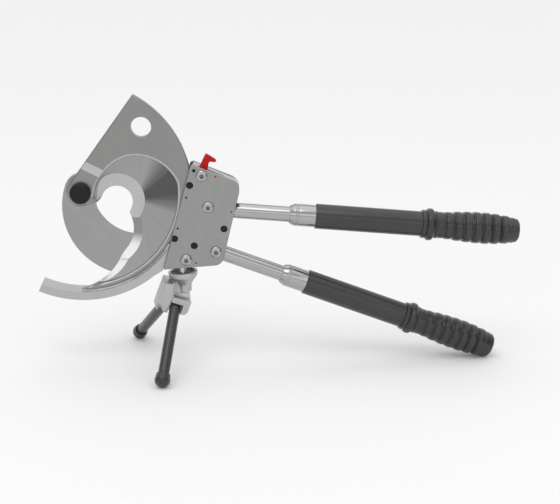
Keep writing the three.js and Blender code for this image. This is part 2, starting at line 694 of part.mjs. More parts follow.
function bracket() {
  const cup = turnedUp([
    [CUP.r, 0],
    [CUP.r, -CUP.lip],
    [11, -22],
    [0, -22],
    [0, -CUP.depth],
    [CUP.r - CUP.wall, -CUP.depth],
    [CUP.r - CUP.wall, 0],
    [CUP.r, 0],
  ]);
  const neck = roundedShape([
    { x: -14, z: -18, r: 2 },
    { x: -14, z: -40, r: 2 },
    { x: 15, z: -40, r: 2 },
    { x: 13, z: -18, r: 4 },
  ]);
  const frontYoke = roundedShape([
    { x: YOKE.left, z: -28, r: 3 },
    { x: YOKE.left, z: -47, r: 2 },
    { x: -8, z: -50.5, r: 2 },
    { x: 13, z: -50.5, r: 3 },
    { x: YOKE.right, z: -46, r: 2 },
    { x: YOKE.right, z: -32, r: 3 },
  ]);
  const rearYoke = roundedShape([
    { x: YOKE.left, z: -28, r: 3 },
    { x: YOKE.left, z: -60, r: 2 },
    { x: -9, z: -63, r: 2 },
    { x: 8, z: -63, r: 3 },
    { x: YOKE.right, z: -59, r: 2 },
    { x: YOKE.right, z: -32, r: 3 },
  ]);
  const boltRoom = upright(SWIVEL_BOLT.headR + 1, -16, -CUP.depth - CUP.floor);
  const boltWay = upright(SWIVEL_BOLT.headR + 0.4, -44, -14).translate(6, 0, 0);
  const shankHole = upright(SWIVEL_BOLT.r + GAP, -12, 1);
  const cupRoom = upright(CUP.r - CUP.wall, -CUP.depth, 30);
  const legRooms = Object.values(LEGS).map((leg) => {
    const half = LEG.r + 1;
    const outward = LEG.r + 1.8; // room for the corner of a leg that folds
    const inward = 40;
    const [y0, y1] = leg.side < 0 ? [-outward, inward] : [-inward, outward];
    const room = block([leg.x - half, y0, -120], [leg.x + half, y1, 9]);
    return room.rotate([leg.side * LEG.splay, 0, 0]).translate(0, leg.side * LEG.y, leg.z);
  });
  const pinHoles = Object.values(LEGS).map((leg) => hingeBar(leg, LEG.pinR + GAP, [-30, 30]));
  const body = joined(
    plate(neck, [-13, 13], 3),
    plate(frontYoke, [YOKE.front, 1], 3),
    plate(rearYoke, [-1, YOKE.rear], 3),
  );
  return cut(
    joined(onSwivel(cup), inLegFrame(body)),
    onSwivel(joined(boltRoom, shankHole, cupRoom)),
    ...[boltWay, ...legRooms, ...pinHoles].map(inLegFrame),
  );
}

piece(head, "bipod_bracket", bracket(), LOOK.cast);

for (const [name, leg] of Object.entries(LEGS)) {
  const place = (made) => {
    const splayed = made.rotate([leg.side * LEG.splay, 0, 0]).translate(leg.x, leg.side * LEG.y, leg.z);
    return inLegFrame(splayed);
  };
  const eyeHole = new THREE.CylinderGeometry(LEG.pinR + GAP, LEG.pinR + GAP, 30, 16).rotateZ(Math.PI / 2);
  const tube = turnedUp([
    [0, 7],
    [LEG.r - 1.5, 6],
    [LEG.r, 3],
    [LEG.r, -LEG.length + 4],
    [0, -LEG.length + 4],
  ], 24);
  piece(head, `${name}_leg`, place(cut(tube, solid(eyeHole))), LOOK.paint);
  piece(head, `${name}_foot`, place(turnedUp([
    [LEG.r + GAP, -LEG.length + 9],
    [LEG.r + 1.6, -LEG.length + 9],
    [LEG.footR, -LEG.length + 3],
    [LEG.footR, -LEG.length - 1],
    [LEG.footR - 3, -LEG.length - 5],
    [0, -LEG.length - 6.5],
    [0, -LEG.length + 3],
    [LEG.r + GAP, -LEG.length + 3],
    [LEG.r + GAP, -LEG.length + 9],
  ], 28)), LOOK.rubber);
  const pin = hingeBar(leg, LEG.pinR, [YOKE.left + 0.4, YOKE.right - 0.4]);
  piece(head, `${name}_leg_pin`, inLegFrame(pin), LOOK.bright);
}

export default root;
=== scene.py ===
"""A ratchet cable cutter on its bipod. Lengths are in millimetres, and each mesh is built in metres."""
import json
from math import asin, atan2, ceil, cos, degrees, hypot, pi, radians, sin, tan

import bmesh
import bpy
import numpy as np
from mathutils import Matrix, Vector
from mathutils.geometry import delaunay_2d_cdt, tessellate_polygon


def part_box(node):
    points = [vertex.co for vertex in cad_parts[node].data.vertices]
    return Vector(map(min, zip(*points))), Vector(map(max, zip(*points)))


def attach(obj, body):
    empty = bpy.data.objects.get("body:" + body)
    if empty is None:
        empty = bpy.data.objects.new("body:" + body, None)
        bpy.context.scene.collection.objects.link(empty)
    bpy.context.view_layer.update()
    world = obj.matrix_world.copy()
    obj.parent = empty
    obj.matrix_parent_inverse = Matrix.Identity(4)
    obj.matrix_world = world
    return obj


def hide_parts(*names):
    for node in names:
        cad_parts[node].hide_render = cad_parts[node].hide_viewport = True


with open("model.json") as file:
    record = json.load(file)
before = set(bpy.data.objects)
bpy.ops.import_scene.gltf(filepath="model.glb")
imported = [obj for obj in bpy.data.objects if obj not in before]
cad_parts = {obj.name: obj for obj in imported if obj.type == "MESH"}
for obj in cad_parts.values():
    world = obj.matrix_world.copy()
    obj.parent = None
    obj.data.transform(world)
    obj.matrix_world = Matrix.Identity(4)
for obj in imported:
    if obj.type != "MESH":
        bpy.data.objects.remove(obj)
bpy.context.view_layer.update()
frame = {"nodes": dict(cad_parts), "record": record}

MM = 0.001
RECORD = frame["record"]
BODY_OF = {node: body for body, nodes in RECORD["behaviour"]["bodies"].items() for node in nodes}
SLOT_OF = {row["node"]: row["material_slot"] for row in RECORD["subparts"]}
JOINTS = {joint["name"]: joint for joint in RECORD["behaviour"]["joints"]}


def middle(node):
    """The middle of a CAD node's box, in millimetres."""
    low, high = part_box(node)
    return (Vector(low) + Vector(high)) / 2 / MM


PIVOT = middle("pivot_bolt")
PIVOT.y = 0


def face_y(node, side):
    """The front (side 0) or rear (side 1) face of a CAD node along Y, in millimetres."""
    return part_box(node)[side][1] / MM


def shown(name, data):
    """An object in the scene with a mesh, a lamp or a camera as its data."""
    added = bpy.data.objects.new(name, data)
    bpy.context.scene.collection.objects.link(added)
    return added


# ---------- camera ----------

CAMERA = {"azimuth": -3.0, "elevation": 16.0, "distance": 1450.0, "height": 136.9,
          "lens": 77.66, "sensor": 36}


def make_camera():
    data = bpy.data.cameras.new("camera")
    data.sensor_width = CAMERA["sensor"]
    data.lens = CAMERA["lens"]
    camera = shown("camera", data)
    a, e = radians(CAMERA["azimuth"]), radians(CAMERA["elevation"])
    back = Vector((sin(a) * cos(e), -cos(a) * cos(e), sin(e)))
    target = Vector((0, 0, CAMERA["height"]))
    camera.location = (target + back * CAMERA["distance"]) * MM
    camera.rotation_euler = back.to_track_quat("Z", "Y").to_euler()
    bpy.context.scene.camera = camera


make_camera()

# ---------- materials ----------


def shader(name, **values):
    """A material with its node tree and its Principled shader."""
    look = bpy.data.materials.new(name)
    look.use_nodes = True
    tree = look.node_tree
    bsdf = tree.nodes["Principled BSDF"]
    for key, value in values.items():
        bsdf.inputs[key.replace("_", " ")].default_value = value
    return look, tree, bsdf


def feed(tree, bsdf, **outputs):
    """Links node outputs to the shader's inputs of those names."""
    for key, output in outputs.items():
        tree.links.new(output, bsdf.inputs[key.replace("_", " ")])


def node(tree, kind, inputs=(), **settings):
    """A node with its settings, and values or links for its inputs by index or name."""
    added = tree.nodes.new(kind)
    for key, value in settings.items():
        setattr(added, key, value)
    for key, value in dict(inputs).items():
        if isinstance(value, bpy.types.NodeSocket):
            tree.links.new(value, added.inputs[key])
        else:
            added.inputs[key].default_value = value
    return added


def place(tree, scale=(1, 1, 1), turn=(0, 0, 0)):
    """The object's own coordinates, turned and then scaled, in metres."""
    where = node(tree, "ShaderNodeTexCoord").outputs["Object"]
    rotated = node(tree, "ShaderNodeMapping", {"Vector": where, "Rotation": turn}).outputs[0]
    return node(tree, "ShaderNodeMapping", {"Vector": rotated, "Scale": scale}).outputs[0]


def noise(tree, vector, scale, detail=3.0, roughness=0.5):
    inputs = {"Vector": vector, "Scale": scale, "Detail": detail, "Roughness": roughness}
    return node(tree, "ShaderNodeTexNoise", inputs).outputs[0]


def spread(tree, value, low, high, start=0.3, end=0.7):
    """A value's middle range, spread between two numbers."""
    inputs = {"Value": value, "From Min": start, "From Max": end, "To Min": low, "To Max": high}
    return node(tree, "ShaderNodeMapRange", inputs).outputs[0]


def shaded(tree, colour, factor):
    """A colour times a grey factor."""
    grey = node(tree, "ShaderNodeCombineColor", {0: factor, 1: factor, 2: factor}).outputs[0]
    mix = node(tree, "ShaderNodeMix", data_type="RGBA", blend_type="MULTIPLY")
    mix.inputs[0].default_value = 1.0
    mix.inputs[6].default_value = (*colour, 1)
    tree.links.new(grey, mix.inputs[7])
    return mix.outputs[2]


def bump(tree, height, strength, distance):
    inputs = {"Height": height, "Strength": strength, "Distance": distance}
    return node(tree, "ShaderNodeBump", inputs).outputs[0]


def brushed(name, colour, roughness, turn=0.0, grain=1.0, contrast=0.06):
    """Steel with fine scratches along one direction of the XZ plane, and broad soft cloudiness."""
    look, tree, bsdf = shader(name, Metallic=1.0, Anisotropic=0.35)
    along = (0, radians(turn), 0)
    fine = noise(tree, place(tree, (60, 60, 2600), along), grain, 2.0)
    broad = noise(tree, place(tree, (9, 9, 120), along), grain, 3.0)
    cloud = noise(tree, place(tree, (18, 18, 18)), 1.0, 2.0)
    total = node(tree, "ShaderNodeMath", {0: fine, 1: broad}, operation="ADD").outputs[0]
    factor = spread(tree, total, 1 - contrast, 1 + contrast, 0.7, 1.3)
    haze = spread(tree, cloud, 0.97, 1.03)
    both = node(tree, "ShaderNodeMath", {0: factor, 1: haze}, operation="MULTIPLY").outputs[0]
    feed(tree, bsdf, Base_Color=shaded(tree, colour, both),
         Roughness=spread(tree, total, roughness - 0.05, roughness + 0.07, 0.7, 1.3),
         Normal=bump(tree, fine, 0.12, 0.00005))
    return look


def polished(name, colour, roughness):
    """Bright metal with faint fine lines, stacked along Z."""
    look, tree, bsdf = shader(name, Metallic=1.0)
    streaks = noise(tree, place(tree, (20, 20, 2200)), 1.0, 2.0)
    feed(tree, bsdf, Base_Color=shaded(tree, colour, spread(tree, streaks, 0.95, 1.04)),
         Roughness=spread(tree, streaks, roughness - 0.03, roughness + 0.06))
    return look


def coated(name, colour, roughness, speckle=0.03, coat=0.0, specular=0.5, texture=900.0, depth=0.25):
    """Paint, oxide, rubber or moulding: a plain colour with a fine skin."""
    look, tree, bsdf = shader(name, Coat_Weight=coat, Coat_Roughness=0.12, Specular_IOR_Level=specular)
    skin = noise(tree, place(tree), texture, 3.0)
    cloud = noise(tree, place(tree), 35.0, 2.0)
    tint = spread(tree, cloud, 1 - 3 * speckle, 1 + 3 * speckle)
    feed(tree, bsdf, Base_Color=shaded(tree, colour, tint),
         Roughness=spread(tree, skin, roughness - speckle, roughness + 2 * speckle),
         Normal=bump(tree, skin, depth, 0.00004))
    return look


def cast(name, colour, roughness):
    """Blasted light alloy: a fine even grain."""
    look, tree, bsdf = shader(name, Metallic=0.85)
    grain = noise(tree, place(tree), 1500.0, 4.0, 0.6)
    cloud = noise(tree, place(tree), 60.0, 2.0)
    feed(tree, bsdf, Base_Color=shaded(tree, colour, spread(tree, cloud, 0.94, 1.05)),
         Roughness=spread(tree, grain, roughness - 0.06, roughness + 0.06),
         Normal=bump(tree, grain, 0.5, 0.0001))
    return look


DISH = {"start": (15.2, -13.2), "centre": (63, -11), "r": 56, "tight": 5, "band": 2.0, "lip": 2.7,
        "band_share": 0.3, "step": 1.0, "bevel_y": -4.6, "edge_y": -0.5}
DISH_CENTRE = PIVOT + Vector((DISH["centre"][0], 0, DISH["centre"][1]))
# painted shade: the turn of the darkened wedge of the dish, where its darkening starts and ends, and how much
# the smear breaks up its edge
PAINTED_SHADE_WEDGE = {"turn": 24, "start": 0.78, "end": 1.04, "streak": 0.14}


def ground_steel(name, colour, roughness, shade=1.0, fade=None):
    """Steel ground in rings round the dish's centre: its highlights stretch away from there.

    A shade under 1 darkens a streaked wedge of it, to the upper right of the centre: painted shade that stands
    in for a dark reflection. A fade is two heights over the centre and a grey factor, which the metal has at
    the first
    and which rises to 1 at the second: painted light, brighter towards the bottom like a reflection of the
    floor.
    """
    look, tree, bsdf = shader(name, Metallic=1.0, Anisotropic=0.75)
    where = node(tree, "ShaderNodeTexCoord").outputs["Object"]
    arm = node(tree, "ShaderNodeVectorMath", {0: where, 1: DISH_CENTRE * MM}, operation="SUBTRACT").outputs[0]
    flat = node(tree, "ShaderNodeVectorMath", {0: arm, 1: (1, 0, 1)}, operation="MULTIPLY").outputs[0]
    radius = node(tree, "ShaderNodeVectorMath", {0: flat}, operation="LENGTH").outputs["Value"]
    rings = node(tree, "ShaderNodeCombineXYZ", {0: radius}).outputs[0]
    lines = noise(tree, rings, 900.0, 4.0, 0.7)
    turn = node(tree, "ShaderNodeVectorMath", {0: flat}, operation="NORMALIZE").outputs[0]
    smear = noise(tree, turn, 9.0, 4.0, 0.6)
    total = node(tree, "ShaderNodeMath", {0: lines, 1: smear}, operation="ADD").outputs[0]
    grain = spread(tree, total, 0.93, 1.07, 0.7, 1.3)
    # painted shade: the metal darkened in a wedge turned towards the upper right of the dish's centre
    towards = (cos(radians(PAINTED_SHADE_WEDGE["turn"])), 0, sin(radians(PAINTED_SHADE_WEDGE["turn"])))
    pair = {0: turn, 1: towards}
    facing_it = node(tree, "ShaderNodeVectorMath", pair, operation="DOT_PRODUCT").outputs["Value"]
    terms = {0: smear, 1: PAINTED_SHADE_WEDGE["streak"], 2: facing_it}
    streaked = node(tree, "ShaderNodeMath", terms, operation="MULTIPLY_ADD").outputs[0]
    wedge = spread(tree, streaked, 1.0, shade, PAINTED_SHADE_WEDGE["start"], PAINTED_SHADE_WEDGE["end"])
    factor = node(tree, "ShaderNodeMath", {0: grain, 1: wedge}, operation="MULTIPLY").outputs[0]
    # painted light: a grey factor rising to 1 towards the bottom, a painted reflection of the floor
    if fade:
        start, end, grey = fade
        height = node(tree, "ShaderNodeSeparateXYZ", {0: arm}).outputs[2]
        painted_fade = spread(tree, height, 1.0, grey, end * MM, start * MM)
        factor = node(tree, "ShaderNodeMath", {0: factor, 1: painted_fade}, operation="MULTIPLY").outputs[0]
    feed(tree, bsdf, Tangent=turn, Base_Color=shaded(tree, colour, factor),
         Roughness=spread(tree, smear, roughness - 0.05, roughness + 0.06),
         Normal=bump(tree, lines, 0.1, 0.00004))
    return look


LOOKS = {
    # The fixed blade's ground steel in lit and shaded copies: painted shade on the dish, painted highlights on
    # its rim band, the ramp and the seat bevel, and a painted reflection of the floor on the lower bevels.
    "dish_steel_painted_shade": ground_steel("dish_steel_painted_shade", (0.34, 0.34, 0.335), 0.36, shade=0.3),
    "rim_steel_painted_highlight": ground_steel("rim_steel_painted_highlight", (0.46, 0.46, 0.455), 0.3),
    "seat_steel_painted_highlight": ground_steel("seat_steel_painted_highlight", (0.50, 0.50, 0.495), 0.32),
    "edge_steel_painted_light": ground_steel("edge_steel_painted_light", (0.84, 0.84, 0.84), 0.3, fade=(-40, -54, 0.34)),
    "button_steel": polished("button_steel", (0.42, 0.42, 0.41), 0.26),
    # painted shade: the button steel darkened inside the hexagon sockets, where they lie in shade
    "socket_steel_painted_shade": polished("socket_steel_painted_shade", (0.16, 0.16, 0.155), 0.3),
    "plate_steel": brushed("plate_steel", (0.31, 0.31, 0.305), 0.36, turn=76),
    "tail_steel": brushed("tail_steel", (0.28, 0.28, 0.275), 0.36, turn=-52),
    "tube_steel": polished("tube_steel", (0.42, 0.42, 0.415), 0.15),
    "blade_steel": brushed("blade_steel", (0.34, 0.34, 0.335), 0.36, turn=-52),
    "cover_steel": brushed("cover_steel", (0.47, 0.47, 0.465), 0.38, turn=76),
    "bright_steel": polished("bright_steel", (0.60, 0.60, 0.59), 0.2),
    "black_oxide": coated("black_oxide", (0.008, 0.008, 0.009), 0.45, specular=0.25),
    "black_paint": coated("black_paint", (0.026, 0.026, 0.027), 0.28, coat=0.15),
    "rubber": coated("rubber", (0.018, 0.018, 0.019), 0.32, coat=0.3, texture=1400.0, depth=0.35),
    "red_paint": coated("red_paint", (0.42, 0.005, 0.004), 0.45, specular=0.2),
    "cast_alloy": cast("cast_alloy", (0.48, 0.48, 0.475), 0.4),
}

# ---------- meshes ----------

MERGED = 0.002  # corners closer than this are one
FLAT_TURN = 0.6  # degrees: CAD edges that turn less are dissolved
CORNER_TURN = 35  # degrees: CAD edges that turn more are rounded


def closed_mesh(name, verts, faces, matrix):
    """A mesh in metres from millimetre corners, measured from the pivot unless a matrix is given."""
    mesh = bpy.data.meshes.new(name)
    matrix = matrix or Matrix.Translation(PIVOT)
    mesh.from_pydata([(matrix @ Vector(v)) * MM for v in verts], [], faces)
    built = bmesh.new()
    built.from_mesh(mesh)
    bmesh.ops.remove_doubles(built, verts=built.verts, dist=MERGED * MM)
    bmesh.ops.recalc_face_normals(built, faces=built.faces)
    built.to_mesh(mesh)
    built.free()
    return mesh


def made(name, verts, faces, replaced, sharp=30.0, look=None, matrix=None, body=None, slot=None):
    """A piece from millimetre corners and faces, standing for a CAD node and riding on that node's body."""
    mesh = closed_mesh(name, verts, faces, matrix)
    mesh.shade_smooth()
    mesh.set_sharp_from_angle(angle=radians(sharp))
    piece = shown(name, mesh)
    slot = slot or SLOT_OF[replaced]
    mesh.materials.append(look or LOOKS[slot])
    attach(piece, body or BODY_OF[replaced])
    if replaced:
        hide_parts(replaced)
    return piece


def arc(centre, r, start, end, step=2.0):
    """Points on a circle of the XZ plane from one direction to another, in degrees."""
    count = max(2, ceil(abs(end - start) / step) + 1)
    turns = [radians(start + (end - start) * i / (count - 1)) for i in range(count)]
    return [(centre[0] + r * cos(t), centre[1] + r * sin(t)) for t in turns]


def ring(centre, r, step=6.0):
    return arc(centre, r, 0, 360 - step, step)


def area(loop):
    return sum(a[0] * b[1] - b[0] * a[1] for a, b in zip(loop, loop[1:] + loop[:1])) / 2


def moved_in(loop, distance):
    """A closed outline with every side moved in by a distance (out if it is negative)."""
    side = 1 if area(loop) > 0 else -1
    count = len(loop)
    result = []
    for i, point in enumerate(loop):
        here = Vector(point)
        back = (here - Vector(loop[i - 1])).normalized()
        on = (Vector(loop[(i + 1) % count]) - here).normalized()
        normal = Vector((-back.y - on.y, back.x + on.x))
        if normal.length < 1e-6:
            normal = Vector((-back.y, back.x))
        normal.normalize()
        share = max(0.35, normal.dot(Vector((-back.y, back.x))))
        result.append(tuple(here + normal * (side * distance / share)))
    return result


def rounded(corners, step=7.0):
    """A closed outline with rounded corners, from (x, z, r)."""
    points = []
    for i, (x, z, r) in enumerate(corners):
        here = Vector((x, z))
        back = (Vector(corners[i - 1][:2]) - here).normalized()
        on = (Vector(corners[(i + 1) % len(corners)][:2]) - here).normalized()
        half = back.angle(on) / 2
        if r <= 0:
            points.append((x, z))
            continue
        centre = here + (back + on).normalized() * (r / sin(half))
        start = here + back * (r / tan(half)) - centre
        end = here + on * (r / tan(half)) - centre
        first = degrees(atan2(start.y, start.x))
        sweep = (degrees(atan2(end.y, end.x)) - first + 180) % 360 - 180
        points += arc(centre, r, first, first + sweep, step)
    return points


def slab(name, replaced, outline, y0, y1, holes, edge, **options):
    """A flat plate in the XZ plane of the head, with chamfered edges."""
    verts, faces = [], []
    caps = {0: [], 3: []}
    for loop, inward in [(outline, 1)] + [(hole, -1) for hole in holes]:
        rows = ((y0, edge), (y0 + edge, 0), (y1 - edge, 0), (y1, edge))
        count = len(loop)
        first = len(verts)
        for row, (y, inset) in enumerate(rows):
            shifted = moved_in(loop, inward * inset) if inset else loop
            if row in caps:
                caps[row].append([(Vector((x, z, 0)), len(verts) + i) for i, (x, z) in enumerate(shifted)])
            verts += [(x, y, z) for x, z in shifted]
        for row in range(3):
            for i in range(count):
                a, b = first + row * count + i, first + row * count + (i + 1) % count
                faces.append((a, b, b + count, a + count))
    for loops in caps.values():
        index = [number for loop in loops for _, number in loop]
        for triangle in tessellate_polygon([[point for point, _ in loop] for loop in loops]):
            faces.append(tuple(index[i] for i in triangle))
    return made(name, verts, faces, replaced, **options)


def softened(profile, r=0.5, steps=3):
    """An open profile of (radius, height) pairs with its corners rounded."""
    result = [profile[0]]
    for i in range(1, len(profile) - 1):
        here = Vector(profile[i])
        back = Vector(profile[i - 1]) - here
        on = Vector(profile[i + 1]) - here
        reach = min(r, back.length * 0.45, on.length * 0.45)
        start = here + back.normalized() * reach
        end = here + on.normalized() * reach
        for k in range(steps + 1):
            t = k / steps
            result.append(tuple(start * (1 - t) ** 2 + here * 2 * t * (1 - t) + end * t * t))
    return result + [profile[-1]]


def turned(name, replaced, profile, matrix, sides=96, **options):
    """A body turned about the matrix's Z axis from (radius, height) pairs."""
    return made(name, *lathe(profile, sides), replaced, matrix=matrix, **options)


def lathe(profile, sides):
    """The corners and faces of a body turned about Z from (radius, height) pairs."""
    turns = [2 * pi * i / sides for i in range(sides)]
    verts = [(r * cos(t), r * sin(t), h) for r, h in profile for t in turns]
    faces = []
    for row in range(len(profile) - 1):
        for i in range(sides):
            a, b = row * sides + i, row * sides + (i + 1) % sides
            faces.append((a, b, b + sides, a + sides))
    return verts, faces


def facing(origin, direction):
    """A matrix that puts Z along a direction, at an origin in the tool's frame."""
    turn = Vector(direction).to_track_quat("Z", "Y").to_matrix().to_4x4()
    return Matrix.Translation(origin) @ turn


def from_cad(replaced, edge=0.3, **options):
    """A copy of a CAD node with its flat faces merged and its edges rounded."""
    mesh = frame["nodes"][replaced].data
    world = frame["nodes"][replaced].matrix_world
    built = bmesh.new()
    built.from_mesh(mesh)
    bmesh.ops.transform(built, matrix=Matrix.Scale(1 / MM, 4) @ world, verts=built.verts)
    bmesh.ops.remove_doubles(built, verts=built.verts, dist=MERGED)
    bmesh.ops.dissolve_limit(built, angle_limit=radians(FLAT_TURN), verts=built.verts, edges=built.edges)
    if edge:
        corners = [e for e in built.edges
                   if len(e.link_faces) == 2 and e.calc_face_angle() > radians(CORNER_TURN)]
        bmesh.ops.bevel(built, geom=corners, offset=edge, segments=2, profile=0.5, affect="EDGES",
                        clamp_overlap=True)
    built.verts.index_update()
    verts = [tuple(v.co) for v in built.verts]
    faces = [tuple(v.index for v in face.verts) for face in built.faces]
    built.free()
    return made(f"fine_{replaced}", verts, faces, replaced, matrix=Matrix(), **options)


def carved(piece, tool, operation="DIFFERENCE"):
    """Cuts a tool object's solid from a piece, or joins it, and removes the tool."""
    change = piece.modifiers.new("carve", "BOOLEAN")
    change.operation = operation
    change.solver = "EXACT"
    change.object = tool
    settled(piece)
    bpy.data.objects.remove(tool)


def settled(piece):
    """Applies a piece's modifiers to its mesh."""
    graph = bpy.context.evaluated_depsgraph_get()
    graph.update()
    fresh = bpy.data.meshes.new_from_object(piece.evaluated_get(graph))
    piece.modifiers.clear()
    piece.data = fresh


def tool_object(verts, faces, matrix=None):
    """A closed object that only serves to cut or join."""
    return shown("tool", closed_mesh("tool", verts, faces, matrix))


def prism(loop, y0, y1):
    """The corners and faces of a straight prism along Y."""
    count = len(loop)
    verts = [(x, y, z) for y in (y0, y1) for x, z in loop]
    faces = [(i, (i + 1) % count, count + (i + 1) % count, count + i) for i in range(count)]
    return verts, faces + [tuple(range(count)), tuple(range(count, 2 * count))]


# ---------- plates with a worked face ----------


def distance_to(points, path):
    """The distance from each point to a line of points, as numbers in numpy arrays."""
    a, b = np.array(path[:-1]), np.array(path[1:])
    best = np.full(len(points), np.inf)
    for start, end in zip(a, b):
        along = end - start
        length = float(along @ along)
        if length < 1e-12:
            continue
        t = np.clip(((points - start) @ along) / length, 0, 1)
        best = np.minimum(best, np.hypot(*(points - start - t[:, None] * along).T))
    return best


def inside(points, loop):
    """Whether each point lies inside a closed outline."""
    found = np.zeros(len(points), bool)
    x, z = points[:, 0], points[:, 1]
    for (x0, z0), (x1, z1) in zip(loop, loop[1:] + loop[:1]):
        if z0 == z1:
            continue
        crosses = (z0 > z) != (z1 > z)
        found ^= crosses & (x < (x1 - x0) * (z - z0) / (z1 - z0) + x0)
    return found


def smoothstep(t):
    t = np.clip(t, 0, 1)
    return t * t * (3 - 2 * t)


def worked_plate(name, replaced, outline, holes, lines, front, rear, grid=(), step=3.0, **options):
    """A plate whose front and rear faces lie at heights given by functions, creased along the given lines."""
    points, edges = [], []

    def add_path(path, closed):
        first = len(points)
        points.extend(path)
        edges.extend((first + i, first + i + 1) for i in range(len(path) - 1))
        if closed:
            edges.append((first + len(path) - 1, first))

    for loop in [outline, *holes]:
        add_path(loop, True)
    for line in lines:
        add_path(line, False)
    for region in grid:
        corners = np.array(region)
        low, high = corners.min(0), corners.max(0)
        xs, zs = np.arange(low[0], high[0], step), np.arange(low[1], high[1], step * 0.87)
        mesh = np.array([(x + (row % 2) * step / 2, z) for row, z in enumerate(zs) for x in xs])
        keep = inside(mesh, region)
        for line in [outline + outline[:1], *lines]:
            keep &= distance_to(mesh, line) > step * 0.4
        points.extend(map(tuple, mesh[keep]))
    flat, _, triangles, *_ = delaunay_2d_cdt([Vector(p) for p in points], edges, [], 0, 1e-4)
    flat = np.array([tuple(v) for v in flat])
    triangles = np.array(triangles)
    centres = flat[triangles].mean(1)
    keep = inside(centres, outline)
    for hole in holes:
        keep &= ~inside(centres, hole)
    triangles = triangles[keep]
    count = len(flat)
    heights = [face(flat) for face in (front, rear)]
    verts = [(x, y, z) for ys in heights for (x, z), y in zip(flat, ys)]
    faces = [tuple(t) for t in triangles] + [tuple(t[::-1] + count) for t in triangles]
    directed = {(t[i], t[(i + 1) % 3]) for t in triangles for i in range(3)}
    faces += [(b, a, a + count, b + count) for a, b in directed if (b, a) not in directed]
    piece = made(name, verts, faces, replaced, **options)
    shade_from(piece.data, front, rear)
    return piece


def shade_from(mesh, front, rear):
    """Gives the front and rear faces the normals of their height functions, creased between regions."""
    probe, nudge = 0.04, 0.12
    corners = np.array([mesh.vertices[loop.vertex_index].co for loop in mesh.loops]) / MM
    corners = corners[:, [0, 2]] - np.array([PIVOT.x, PIVOT.z])
    normals = np.array([tuple(c.vector) for c in mesh.corner_normals])
    for side, face in ((-1, front), (1, rear)):
        chosen, inner = [], []
        for polygon in mesh.polygons:
            if polygon.normal.y * side > 0.35 and len(polygon.vertices) == 3:
                middle_of = corners[list(polygon.loop_indices)].mean(0)
                for index in polygon.loop_indices:
                    chosen.append(index)
                    inner.append(corners[index] + nudge * (middle_of - corners[index]))
        inner = np.array(inner)
        slope = [
            (face(inner + np.array(shift)) - face(inner - np.array(shift))) / (2 * probe)
            for shift in ((probe, 0), (0, probe))
        ]
        fresh = np.stack([-side * slope[0], np.full(len(inner), float(side)), -side * slope[1]], 1)
        normals[chosen] = fresh / np.linalg.norm(fresh, axis=1)[:, None]
    mesh.normals_split_custom_set([tuple(n) for n in normals])


# ---------- blades ----------

TAIL = {"boss": 16, "edge": 53.7, "r": 130, "lug": 119.4}
SEAT = ((41, -13), 18.4)
THROAT = ((19.7, -45.1), 39.9)
HEEL = ((-20.4, -50.2), 70.8)
HANG_HOLE = ((72.2, 76), 11.8)
SEAT_BEVEL = {"start": (17.1, -13.9), "centre": (42, -11), "r": 32, "tight": 7.5}
RAMP = {"turn": 27.5, "low": 26.2, "high": 35.5, "reach": 62}
LUG_RIM = 115.3
LUG_CORNER = (-2, -118.9)
# where the lower bevels get the brightest copy of the steel, a painted reflection of the floor
BELOW_NOTCH = ((30, -32), (80, -32), (80, -125), (-10, -125))
GROOVE = [(52.2, -83.2), (42.6, -84.6)]  # a fine step between the two lower bevels
GROOVE_HALF = 0.7
BACK_CHAMFER = 1.1
BOLT_BORE = 8.3
ON_EDGE = 0.02  # points nearer than this to the cutting edge lie on it
FRONT_Y = -9.5
BACK_Y = face_y("fixed_blade", 1)
BOSS_Y = face_y("fixed_blade", 0)


def join(*arcs):
    return [point for stretch in arcs for point in stretch]


def blade_edge():
    """The cutting edge from the boss to the tip on the hook."""
    return join(
        [(17.2, -14)],
        arc(*SEAT, 166, -25),
        arc(*THROAT, 27, -43),
        arc(*HEEL, -24, -76.5),
    )


def blade_outline():
    start = TAIL["edge"] + 90
    tip = TAIL["edge"] + degrees(asin(TAIL["boss"] / TAIL["r"]))
    centre = (0, 0)
    return join(
        arc(centre, TAIL["boss"], start, 285, 4),
        blade_edge(),
        arc(centre, TAIL["lug"], -92.2, -31.5),
        arc(centre, 129, -31.5, -21),
        arc(centre, 124, -21, -1),
        arc(centre, TAIL["r"], -1, tip),
    )


def dish_rim(inset=0.0):
    """The dish's rim from the boss over the top, and then the lug's rim down to the tip."""
    points = [(DISH["start"][0] + inset, DISH["start"][1])]
    for turn in range(174, -40, -2):
        r = DISH["r"] - DISH["tight"] * float(smoothstep((turn - 85) / 65)) - inset
        x, z = DISH["centre"][0] + r * cos(radians(turn)), DISH["centre"][1] + r * sin(radians(turn))
        if hypot(x, z) > LUG_RIM - inset:
            break
        points.append((x, z))
    first = degrees(atan2(points[-1][1], points[-1][0]))
    return points + arc((0, 0), LUG_RIM - inset, first, -87.5)


def bevel_line():
    """The outer edge of the ground bevels along the cutting edge."""
    points = [SEAT_BEVEL["start"]]
    x, z = SEAT_BEVEL["centre"]
    for turn in range(178, -44, -4):
        r = SEAT_BEVEL["r"] - SEAT_BEVEL["tight"] * float(smoothstep((turn - 112) / 55))
        points.append((x + r * cos(radians(turn)), z + r * sin(radians(turn))))
    throat, heel = arc((24, -46), 46.4, 16.5, -52.4), arc((-3.1, -54.6), 62.2, -27.6, -73.8)
    return join(points, throat, heel, [(5.5, -116.8)])


